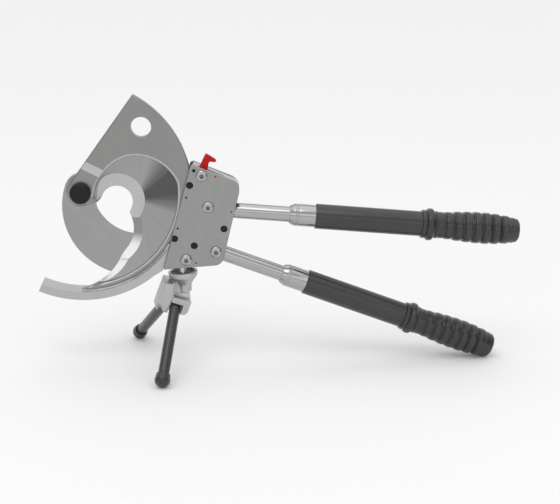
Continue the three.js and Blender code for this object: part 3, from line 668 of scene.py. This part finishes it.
def fixed_blade():
    """The front blade: a flat tail, the ramp up to the boss, the ground dish and the bevels of its edge."""
    outline = blade_outline()
    edge, rim, bevels = blade_edge(), dish_rim(), bevel_line()
    bevel_loop = bevels + [LUG_CORNER] + edge[::-1]
    dish_loop = rim + [LUG_CORNER] + edge[::-1]
    split = len(arc((0, 0), TAIL["boss"], TAIL["edge"] + 90, 285, 4))
    back_edge = outline[split + len(edge) - 1 :] + outline[:split]
    turn = radians(RAMP["turn"])

    def upper(points):
        """The height outside the dish: the flat face, the ramp and the boss."""
        x, z = points[:, 0], points[:, 1]
        along = (x * sin(turn) + z * cos(turn) - RAMP["low"]) / (RAMP["high"] - RAMP["low"])
        raised = BOSS_Y + (FRONT_Y - BOSS_Y) * np.clip(along, 0, 1)
        return np.where(np.hypot(x, z) < RAMP["reach"], raised, FRONT_Y)

    def front(points):
        top = upper(points)
        result = top + np.clip(BACK_CHAMFER - distance_to(points, back_edge), 0, BACK_CHAMFER)
        to_rim, to_bevel, to_edge = (distance_to(points, line) for line in (rim, bevels, edge))
        on_edge = to_edge < ON_EDGE
        in_dish, in_bevel = (inside(points, loop) | on_edge for loop in (dish_loop, bevel_loop))
        share = to_rim / np.maximum(to_rim + to_bevel, 1e-6)
        floor_y = FRONT_Y + DISH["step"]
        deep = floor_y + (DISH["bevel_y"] - floor_y) * share
        lip = np.interp(to_rim, (0, DISH["band"], DISH["lip"]), (0, DISH["band_share"], 1))
        dished = top + (deep - top) * lip
        result = np.where(in_dish, dished, result)
        slope = to_bevel / np.maximum(to_bevel + to_edge, 1e-6)
        ground = DISH["bevel_y"] + (DISH["edge_y"] - DISH["bevel_y"]) * slope
        ground = top + (ground - top) * np.clip(to_rim / DISH["lip"], 0, 1)
        ground = ground + np.clip(GROOVE_HALF - distance_to(points, GROOVE), 0, GROOVE_HALF)
        return np.where(in_bevel, ground, result)

    def rear(points):
        return np.full(len(points), BACK_Y)

    ramp_lines = [[(x, RAMP[key] / cos(turn) - x * tan(turn)) for x in (-12, 27)] for key in ("low", "high")]
    eased = moved_in(outline, BACK_CHAMFER)
    chamfer_line = eased[split + len(edge) :] + eased[: split - 1]
    groove_lines = [[(x, z + shift) for x, z in GROOVE] for shift in (-GROOVE_HALF, 0, GROOVE_HALF)]
    rim_lines = [rim, dish_rim(DISH["band"]), dish_rim(DISH["lip"])]
    lines = [*rim_lines, bevels, chamfer_line, *groove_lines, *ramp_lines]
    holes = [ring(*HANG_HOLE, 5), ring((0, 0), BOLT_BORE, 12)]
    plate = worked_plate("fixed_blade_ground", "fixed_blade", outline, holes, lines, front, rear,
                         grid=[dish_loop], step=3.2, look=LOOKS["tail_steel"])
    inner_loop = rim_lines[-1] + dish_loop[len(rim) :]
    ramp = ramp_lines[0] + ramp_lines[1][::-1]
    # painted light: the ramp and the dish's rim band get a brighter copy of the steel, the dish a darker one
    # with its painted shade, the seat bevel a brighter one, and the lower bevels the brightest, a painted
    # reflection
    for look, loops in (("rim_steel_painted_highlight", [ramp]), ("rim_steel_painted_highlight", [dish_loop]), ("dish_steel_painted_shade", [inner_loop]),
                        ("seat_steel_painted_highlight", [bevel_loop]), ("edge_steel_painted_light", [bevel_loop, list(BELOW_NOTCH)])):
        paint_inside(plate.data, LOOKS[look], loops)


def paint_inside(mesh, look, loops):
    """Gives a material to the front faces inside every one of some outlines."""
    mesh.materials.append(look)
    faces = [polygon for polygon in mesh.polygons if polygon.normal.y < -0.35]
    centres = np.array([tuple(polygon.center) for polygon in faces])[:, [0, 2]] / MM - (PIVOT.x, PIVOT.z)
    for polygon, found in zip(faces, np.all([inside(centres, loop) for loop in loops], 0)):
        if found:
            polygon.material_index = len(mesh.materials) - 1


EYE_R = 19.9
SICKLE = ((68.1, 2.5), 55.6)
SICKLE_BEVEL = {"width": 11, "land": 0.5}
CRESCENT = ((59.9, -21.3), 83.5)
TOOTH = {"tip": 118.5, "root": 115.3, "inner": 103, "first": -61, "pitch": 3, "count": 33}


def moving_blade():
    """The rear blade: an eye, a sickle ground to its edge on the rear face, and a toothed rim."""
    y0, y1 = face_y("moving_blade", 0), face_y("moving_blade", 1)
    outline = join(arc((0, 0), EYE_R, -49, 160.4, 3), arc(*CRESCENT, 160.4, 267.5))
    for i in range(TOOTH["count"]):
        turn = radians(TOOTH["first"] + i * TOOTH["pitch"])
        outline += [(r * cos(turn), r * sin(turn)) for r in (TOOTH["root"], TOOTH["tip"])]
    last = TOOTH["first"] + TOOTH["count"] * TOOTH["pitch"]
    outline += arc((0, 0), TOOTH["root"], last, last - 0.1)
    outline += arc((0, 0), TOOTH["inner"], last - 0.2, -27.6)
    outline += arc(*SICKLE, -65, -160.5)
    edge = arc(*SICKLE, -82, -158)
    width, land = SICKLE_BEVEL["width"], SICKLE_BEVEL["land"]
    bevel = arc(SICKLE[0], SICKLE[1] + width, -90, -166)
    centre = np.array(SICKLE[0])

    def rear(points):
        past = np.hypot(*(points - centre).T) - SICKLE[1]
        turn = np.degrees(np.arctan2(*(points - centre).T[::-1]))
        fade = smoothstep((turn + 162) / 8) * smoothstep((-70 - turn) / 10)
        ground = np.clip(past / width, 0, 1) * (y1 - y0 - land) + y0 + land
        return y1 + (ground - y1) * fade

    def front(points):
        return np.full(len(points), y0)

    region = arc(SICKLE[0], SICKLE[1] + width + 1, -62, -170) + arc(SICKLE[0], SICKLE[1] - 1, -170, -62)
    worked_plate("moving_blade_ground", "moving_blade", outline, [ring((0, 0), BOLT_BORE, 12)],
                 [edge, bevel], front, rear, grid=[region], look=LOOKS["blade_steel"])


fixed_blade()
moving_blade()
from_cad("jaw_hook", 0.5)

# ---------- pivot and housing ----------


def at_y(point, y):
    """A point moved along Y to a new place."""
    return Vector((point.x, y, point.z))


def on_axis(node_name, profile, r=0.4, sides=96, **options):
    """A body turned about the line along Y through a CAD node's middle, from (radius, y) pairs."""
    matrix = facing(at_y(middle(node_name), 0), (0, 1, 0))
    return turned(f"{node_name}_turned", node_name, softened(profile, r), matrix, sides, **options)


def pivot():
    """The main pivot's black cap and washer, turned, and its bolt and nut."""
    low, high = face_y("pivot_cap", 0), face_y("pivot_cap", 1)
    on_axis("pivot_cap", [(0, low + 0.2), (4, low), (9.8, low), (12.2, low + 1.9), (12.2, high), (10.8, high),
                          (10.8, low + 3.3), (0, low + 3.3)], 0.8)
    low, high = face_y("pivot_washer", 0), face_y("pivot_washer", 1)
    bore, r = BOLT_BORE, 15
    on_axis("pivot_washer", [(bore, low), (r, low), (r, high), (bore, high), (bore, low)], 0.3)
    for name in ("pivot_bolt", "pivot_nut"):
        from_cad(name, 0.3)


COVER = ((93.4, -94.5, 1.5), (163.5, -89.8, 11), (187.1, 8.9, 14), (128.5, 33.2, 4))
PINS = ("hold_pawl_pin", "stop_pin", "root_pin", "blade_pin")
HOLE_R = {"screw": 3.3, "pin": 3.75, "dowel": 1.65}
SCREW_HEAD = {"r": 6.8, "height": 3.6, "socket": 2.9, "depth": 2.4}


def beside(node_name, r, step=10.0):
    """A round hole in the head's plane round a CAD node's middle."""
    at = middle(node_name) - PIVOT
    return ring((at.x, at.z), r, step)


def covers():
    """Both side plates of the housing with their holes, the wall between them and the black pins."""
    screw_holes = [beside(f"cover_screw_{i}", HOLE_R["screw"], 15) for i in range(1, 5)]
    for name, pins in (("front_cover", PINS), ("rear_cover", PINS[:3])):
        pin_holes = [beside(pin, HOLE_R["pin"]) for pin in pins]
        holes = [*screw_holes, *pin_holes, beside("frame_pin", HOLE_R["dowel"], 20)]
        slab(f"{name}_plate", name, rounded(COVER, 5), face_y(name, 0), face_y(name, 1), holes, 0.5,
             look=LOOKS["plate_steel"])
    from_cad("housing_frame", 0.4)
    for pin in PINS:
        y0, y1 = face_y(pin, 0), face_y(pin, 1)
        on_axis(pin, [(0, y0), (3.5, y0), (3.5, y1), (0, y1)], 0.5, 48)


def screws():
    """Button-head screws with a rounded rim and a hexagon socket."""
    r, height = SCREW_HEAD["r"], SCREW_HEAD["height"]
    for i in range(1, 5):
        name = f"cover_screw_{i}"
        seat, end = face_y("front_cover", 0) - 0.3, face_y(name, 1)
        dome = [(r * cos(radians(t)), seat - 0.5 - (height - 0.5) * sin(radians(t)))
                for t in range(64, -1, -8)]
        top = [(0, seat - height * 0.97), (dome[0][0] * 0.6, dome[0][1])]
        profile = [*top, *dome, (r, seat), (3, seat), (3, end), (0, end)]
        screw = turned(f"{name}_button", name, profile, facing(at_y(middle(name), 0), (0, 1, 0)), 64,
                       look=LOOKS["button_steel"])
        at = middle(name) - PIVOT
        hexagon = [(at.x + SCREW_HEAD["socket"] * cos(radians(60 * k + 15 * i)),
                    at.z + SCREW_HEAD["socket"] * sin(radians(60 * k + 15 * i))) for k in range(6)]
        carved(screw, tool_object(*prism(hexagon, seat - height - 2, seat - height + SCREW_HEAD["depth"])))
        # painted shade: the faces inside the socket get a darker copy of the button steel
        screw.data.materials.append(LOOKS["socket_steel_painted_shade"])
        for polygon in screw.data.polygons:
            x, y, z = polygon.center / MM - middle(name)
            if hypot(x, z) < SCREW_HEAD["socket"] and polygon.center.y / MM > seat - height + 0.5 and y < 0:
                polygon.material_index = len(screw.data.materials) - 1
        from_cad(f"cover_nut_{i}", 0.35)


MARKS = {
    "dowel_end": {"r": 1.3, "slot": "black_oxide", "places": ((122.6, -7), (112, -44))},
    "paint_dot": {"r": 1.25, "slot": "red_paint", "places": ((157.1, 17.6), (174.9, -25), (132.8, -86.6))},
}


def marks():
    """The small dowel ends and paint dots on the front cover."""
    y = face_y("front_cover", 0)
    for kind, mark in MARKS.items():
        r, slot = mark["r"], mark["slot"]
        for i, (x, z) in enumerate(mark["places"]):
            matrix = facing(PIVOT + Vector((x, 0, z)), (0, 1, 0))
            profile = softened([(0, y - 0.12), (r, y - 0.12), (r, y + 0.3), (0, y + 0.3)], 0.1)
            turned(f"{kind}_{i + 1}", None, profile, matrix, 24, look=LOOKS[slot], body="frame", slot=slot)


pivot()
covers()
screws()
marks()
from_cad("release_lever", 0.5)
for part in ("frame_pin", "release_bush", "hold_pawl", "feed_pawl", "feed_pawl_pin", "drive_lever",
             "fixed_handle_root", "upper_stop_ring", "lower_stop_ring", "front_leg_pin", "rear_leg_pin",
             "hold_pawl_spring", "feed_pawl_spring"):
    from_cad(part, 0 if "spring" in part else 0.25)

# ---------- handles ----------

OUTER = {"r": 15, "bore": 13.1}
INNER = {"r": 9.3, "bore": 7.4}
FERRULE = {"r": 13.4, "length": 31, "chamfer": 6, "spigot": 12}
GUARD = {"r": 17, "from": 127.7, "to": 132.7}
GRIP = {"from": 133.0, "to": 245.7, "ring": 19.3, "neck": 15.8, "end": 13.6, "rib": 18.9, "pitch": 11.4,
        "count": 7, "widest": 3.6, "cap": 6}
# each point of a rib's outline: its place along the grip from the rib's middle, and its depth under the top
RIB = ((-5.2, 1.9), (-4.9, 0.7), (-4.0, 0.45), (-3.6, 0.9), (-3.3, 1.0), (-3.0, 0.3), (-1.6, 0.0),
       (1.6, 0.0), (3.6, 0.25), (4.2, 0.6), (4.5, 1.9))


def tube_span(node_name, r, axis):
    """A straight tube's length and middle, from its node's box."""
    low, high = (Vector(corner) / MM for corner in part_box(node_name))
    return ((high.x - low.x) - 2 * r * abs(axis.z)) / axis.x, (low + high) / 2


def grip_profile():
    """A flange with a neck, ribs that are tallest near the middle, and a closed end."""
    start, end, tip = GRIP["from"], GRIP["to"], GRIP["end"]
    bore, neck, big = OUTER["r"] + 0.3, GRIP["neck"], GRIP["ring"]
    profile = [(bore, start), (17.2, start), (big - 0.5, start + 1.6), (big, start + 3.2),
               (big, start + 6.0), (big - 0.6, start + 7.6), (neck + 0.4, start + 9.6), (neck, start + 10.6),
               (neck + 0.7, start + 11.2), (neck + 0.7, start + 12.8), (neck, start + 13.4),
               (neck, start + 20.4)]
    for i in range(GRIP["count"]):
        middle_at = start + 27 + i * GRIP["pitch"]
        past = i - GRIP["widest"]
        top = GRIP["rib"] - (0.34 if past > 0 else 0.19) * past ** 2
        profile += [(top - drop, middle_at + offset) for offset, drop in RIB]
    last = profile[-1]
    inner_end = end - GRIP["cap"]
    return profile + [(last[0] + 0.6, last[1] + 1.2), (tip + 1.2, end - 8), (tip + 0.8, end - 7.6),
                      (tip + 1.1, end - 7.0), (tip + 0.6, end - 2.2), (tip - 1.6, end), (0, end),
                      (0, inner_end), (bore, inner_end), (bore, start)]


def ferrule_profile():
    """A sleeve with a cone, three fine rings and a spigot in the outer tube."""
    sleeve, r, spigot = INNER["r"] + 0.3, FERRULE["r"], OUTER["bore"] - 0.3
    start, end = -FERRULE["length"] - 0.3, -0.3
    inside_end = end + FERRULE["spigot"]
    rings = []
    for k in range(3):
        at = start + FERRULE["chamfer"] + 1.4 + 1.5 * k
        rings += [(r, at), (r - 0.25, at + 0.25), (r, at + 0.5)]
    return [(sleeve, start), (INNER["r"] + 1.4, start), (r, start + FERRULE["chamfer"]), *rings, (r, end),
            (spigot, end), (spigot, inside_end), (sleeve, inside_end), (sleeve, start)]


def handle(name):
    """The turned parts of one handle, along its telescope's axis from the start of the outer tube."""
    axis = Vector(JOINTS[f"{name}_telescope"]["axis"]).normalized()
    length, centre = tube_span(f"{name}_outer_tube", OUTER["r"], axis)
    inner_length, inner_centre = tube_span(f"{name}_inner_tube", INNER["r"], axis)
    matrix = facing(centre - axis * length / 2, axis)
    inner_at = (inner_centre - matrix.translation).dot(axis)

    def along(part, profile, r=0.4, **options):
        return turned(f"{name}_{part}_turned", f"{name}_{part}", softened(profile, r), matrix, 128, **options)

    def tube(part, bore, r, start, end, soft, **options):
        return along(part, [(bore, start), (r, start), (r, end), (bore, end), (bore, start)], soft, **options)

    tube("inner_tube", INNER["bore"], INNER["r"], inner_at - inner_length / 2, inner_at + inner_length / 2,
         0.3, look=LOOKS["tube_steel"])
    along("ferrule", ferrule_profile(), 0.25, look=LOOKS["tube_steel"])
    tube("outer_tube", OUTER["bore"], OUTER["r"], 0, length, 0.35)
    tube("guard_ring", OUTER["r"] + 0.3, GUARD["r"], GUARD["from"], GUARD["to"], 1.6)
    along("grip", grip_profile(), 0.35)


handle("upper")
handle("lower")

# ---------- bipod ----------

SWIVEL_AXIS = Vector(JOINTS["bipod_swivel"]["axis"]).normalized()
SWIVEL_AT = Vector(JOINTS["bipod_swivel"]["pos_m"]) / MM
LEG = {"lean": 21, "yaw": 8.5, "splay": 46.7, "r": 6.6, "length": 100.5, "foot": 9.2}
LEG_TURN = Matrix.Rotation(radians(LEG["lean"]), 3, "Y") @ Matrix.Rotation(radians(LEG["yaw"]), 3, "Z")


def legs():
    """A round leg and a rubber ball foot on each side, along the leg from its hinge."""
    r, length, foot = LEG["r"], LEG["length"], LEG["foot"]
    for name, side in (("front", -1), ("rear", 1)):
        at = Vector(JOINTS[f"{name}_leg_hinge"]["pos_m"]) / MM
        down = LEG_TURN @ Matrix.Rotation(radians(side * LEG["splay"]), 3, "X") @ Vector((0, 0, -1))
        matrix = facing(at, down)
        tube = [(0, -7), (r - 1.5, -6), (r, -3), (r, length - 4), (0, length - 4)]
        turned(f"{name}_leg_tube", f"{name}_leg", softened(tube, 0.6), matrix, 64)
        ball = [(r + 0.3, -9), (r + 1.4, -9), (r + 1.9, -7.6), (foot - 0.5, -4.4), (foot, -2.2),
                (foot, -0.2), (foot - 0.8, 2.6), (foot - 3, 5), (4, 6.3), (0, 6.5), (0, -3), (r + 0.3, -3),
                (r + 0.3, -9)]
        ball = [(ball_r, length + past) for ball_r, past in ball]
        turned(f"{name}_foot_ball", f"{name}_foot", softened(ball, 0.9), matrix, 64)


BRACKET_AT = Vector((115.8, 0, -96.5))
CUP = ((0, 0), (17.6, 0), (17.6, -2), (16.9, -6), (13.4, -10.5), (9.6, -15.5), (8.8, -20), (8.8, -25),
       (0, -25))
CUP_ROOM = ((0, 30), (14.6, 30), (14.6, -6), (0, -6))
BOLT_ROOM = ((0, 1), (4.4, 1), (4.4, -8), (6.2, -8), (6.2, -16), (0, -16))
SCOOP = {"at": (11, -34, -20), "r": 27}  # the hollow under the cup, at the front
WEB = ((-16.5, -18.5, 1.5), (-16.5, -46, 1.5), (-10, -47, 0.5), (-9, -53, 2), (15, -54, 3), (20, -50, 3),
       (20.5, -31, 2), (18.5, -26, 2), (13, -21, 2), (8, -16, 1))
PLATE = ((-16.5, -18.5, 1), (-16.5, -46, 1.5), (-10, -47, 0.5), (-9, -53, 2), (-1, -54, 1), (-1.2, -33, 1),
         (-7.5, -17, 0.5))
FRONT_SOCKET = ((-2.5, -32, 0.5), (-2.5, -50, 2), (17, -50, 3), (20.5, -46, 3), (20.5, -31, 1))
REAR_SOCKET = ((-14, -34, 2), (-14, -59, 4), (-9, -61, 1), (12, -61, 3), (18, -56, 3), (18, -34, 2))
HINGES = ((-1, 5, -43), (1, -2.8, -56))  # each leg's side, x and z
HINGE_Y = 14
CAST = {"web": 12, "grain": 0.45, "ease": 0.5, "passes": 4}


def bracket():
    """The cast yoke: a cup on a waist, a web with a front plate and two sockets, remeshed with soft corners."""
    in_legs = Matrix.Translation(PIVOT + BRACKET_AT) @ LEG_TURN.to_4x4()
    on_swivel = facing(SWIVEL_AT, SWIVEL_AXIS)
    web = prism(rounded(WEB), -CAST["web"], CAST["web"])
    piece = made("bipod_bracket_cast", *web, "bipod_bracket", matrix=in_legs)
    scoop = [(SCOOP["r"] * sin(radians(t)), SCOOP["r"] * cos(radians(t))) for t in range(0, 181, 5)]
    carved(piece, tool_object(*lathe(scoop, 72), in_legs @ Matrix.Translation(SCOOP["at"])))
    carved(piece, tool_object(*lathe(CUP, 64), on_swivel), "UNION")
    for loop, y0, y1 in ((PLATE, -19.5, 2), (FRONT_SOCKET, -22, -1), (REAR_SOCKET, 1, 22)):
        carved(piece, tool_object(*prism(rounded(loop), y0, y1), in_legs), "UNION")
    carved(piece, tool_object(*lathe(CUP_ROOM, 64), on_swivel))
    carved(piece, tool_object(*lathe(BOLT_ROOM, 32), on_swivel))
    half, corner = LEG["r"] + 1, LEG["r"] + 1.8
    room = [(-half, -120), (half, -120), (half, 9), (-half, 9)]
    for side, x, z in HINGES:
        depth = (-corner, 40) if side < 0 else (-40, corner)
        splay = Matrix.Rotation(radians(side * LEG["splay"]), 4, "X")
        hinge = Matrix.Translation((x, side * HINGE_Y, z)) @ splay
        carved(piece, tool_object(*prism(room, *depth), in_legs @ hinge))
    remesh = piece.modifiers.new("remesh", "REMESH")
    remesh.mode = "VOXEL"
    remesh.voxel_size = CAST["grain"] * MM
    ease = piece.modifiers.new("ease", "SMOOTH")
    ease.factor = CAST["ease"]
    ease.iterations = CAST["passes"]
    settled(piece)
    piece.data.shade_smooth()


legs()
bracket()
from_cad("swivel_bolt", 0.3)

# ---------- floor and light ----------

FLOOR = {"size": 60, "colour": (0.86, 0.86, 0.865, 1), "roughness": 0.7}
SKY = ((0.0, 0.6), (0.08, 1.0), (0.25, 1.7), (0.42, 1.5), (0.5, 0.75), (0.7, 0.8), (0.85, 1.6), (1.0, 1.7))
SKY_STRENGTH = 0.8


def floor():
    bpy.ops.mesh.primitive_plane_add(size=FLOOR["size"], location=(0, 0, 0))
    ground = bpy.context.object
    ground.name = "floor"
    look, _, bsdf = shader("floor", Roughness=FLOOR["roughness"])
    bsdf.inputs["Base Color"].default_value = FLOOR["colour"]
    ground.data.materials.append(look)


def light(name, location, size, power, target=(0, 0, 0.15)):
    """An area light in metres, which faces the tool."""
    data = bpy.data.lights.new(name, "AREA")
    data.shape = "RECTANGLE"
    data.size, data.size_y = size
    data.energy = power
    lamp = shown(name, data)
    lamp.location = location
    lamp.rotation_euler = (Vector(location) - Vector(target)).to_track_quat("Z", "Y").to_euler()


def sky():
    """A pale studio that is darker just above the horizon and bright overhead."""
    world = bpy.data.worlds.new("studio")
    bpy.context.scene.world = world
    world.use_nodes = True
    tree = world.node_tree
    direction = node(tree, "ShaderNodeTexCoord").outputs["Generated"]
    height = node(tree, "ShaderNodeSeparateXYZ", {0: direction}).outputs[2]
    ramp = node(tree, "ShaderNodeValToRGB", {0: height})
    for i, (at, grey) in enumerate(SKY):
        stop = ramp.color_ramp.elements[i] if i < 2 else ramp.color_ramp.elements.new(at)
        stop.position = at
        stop.color = (grey, grey, grey, 1)
    tree.links.new(ramp.outputs[0], tree.nodes["Background"].inputs["Color"])
    tree.nodes["Background"].inputs["Strength"].default_value = SKY_STRENGTH


def card(name, corners, grey):
    """A flag that only shows in reflections."""
    mesh = bpy.data.meshes.new(name)
    mesh.from_pydata(corners, [], [(0, 1, 2, 3)])
    flag = shown(name, mesh)
    look, tree, _ = shader(name)
    glow = node(tree, "ShaderNodeEmission", {0: (grey, grey, grey, 1)}).outputs[0]
    tree.links.new(glow, tree.nodes["Material Output"].inputs["Surface"])
    mesh.materials.append(look)
    flag.visible_camera = False
    flag.visible_diffuse = False
    flag.visible_shadow = False


def studio():
    sky()
    light("key", (-0.6, -1.2, 2.4), (1.8, 1.2), 9)
    light("fill", (1.8, -1.6, 1.4), (1.2, 1.6), 3)
    card("left_flag", [(-1.5, 0.1, 0.0), (-1.2, -0.4, 0.0), (-1.2, -0.4, 0.9), (-1.5, 0.1, 0.9)], 0.05)
    card("right_flag", [(0.9, -0.9, 0.0), (1.4, -0.2, 0.0), (1.4, -0.2, 0.9), (0.9, -0.9, 0.9)], 0.1)


floor()
studio()
bpy.context.scene.view_settings.view_transform = "Standard"
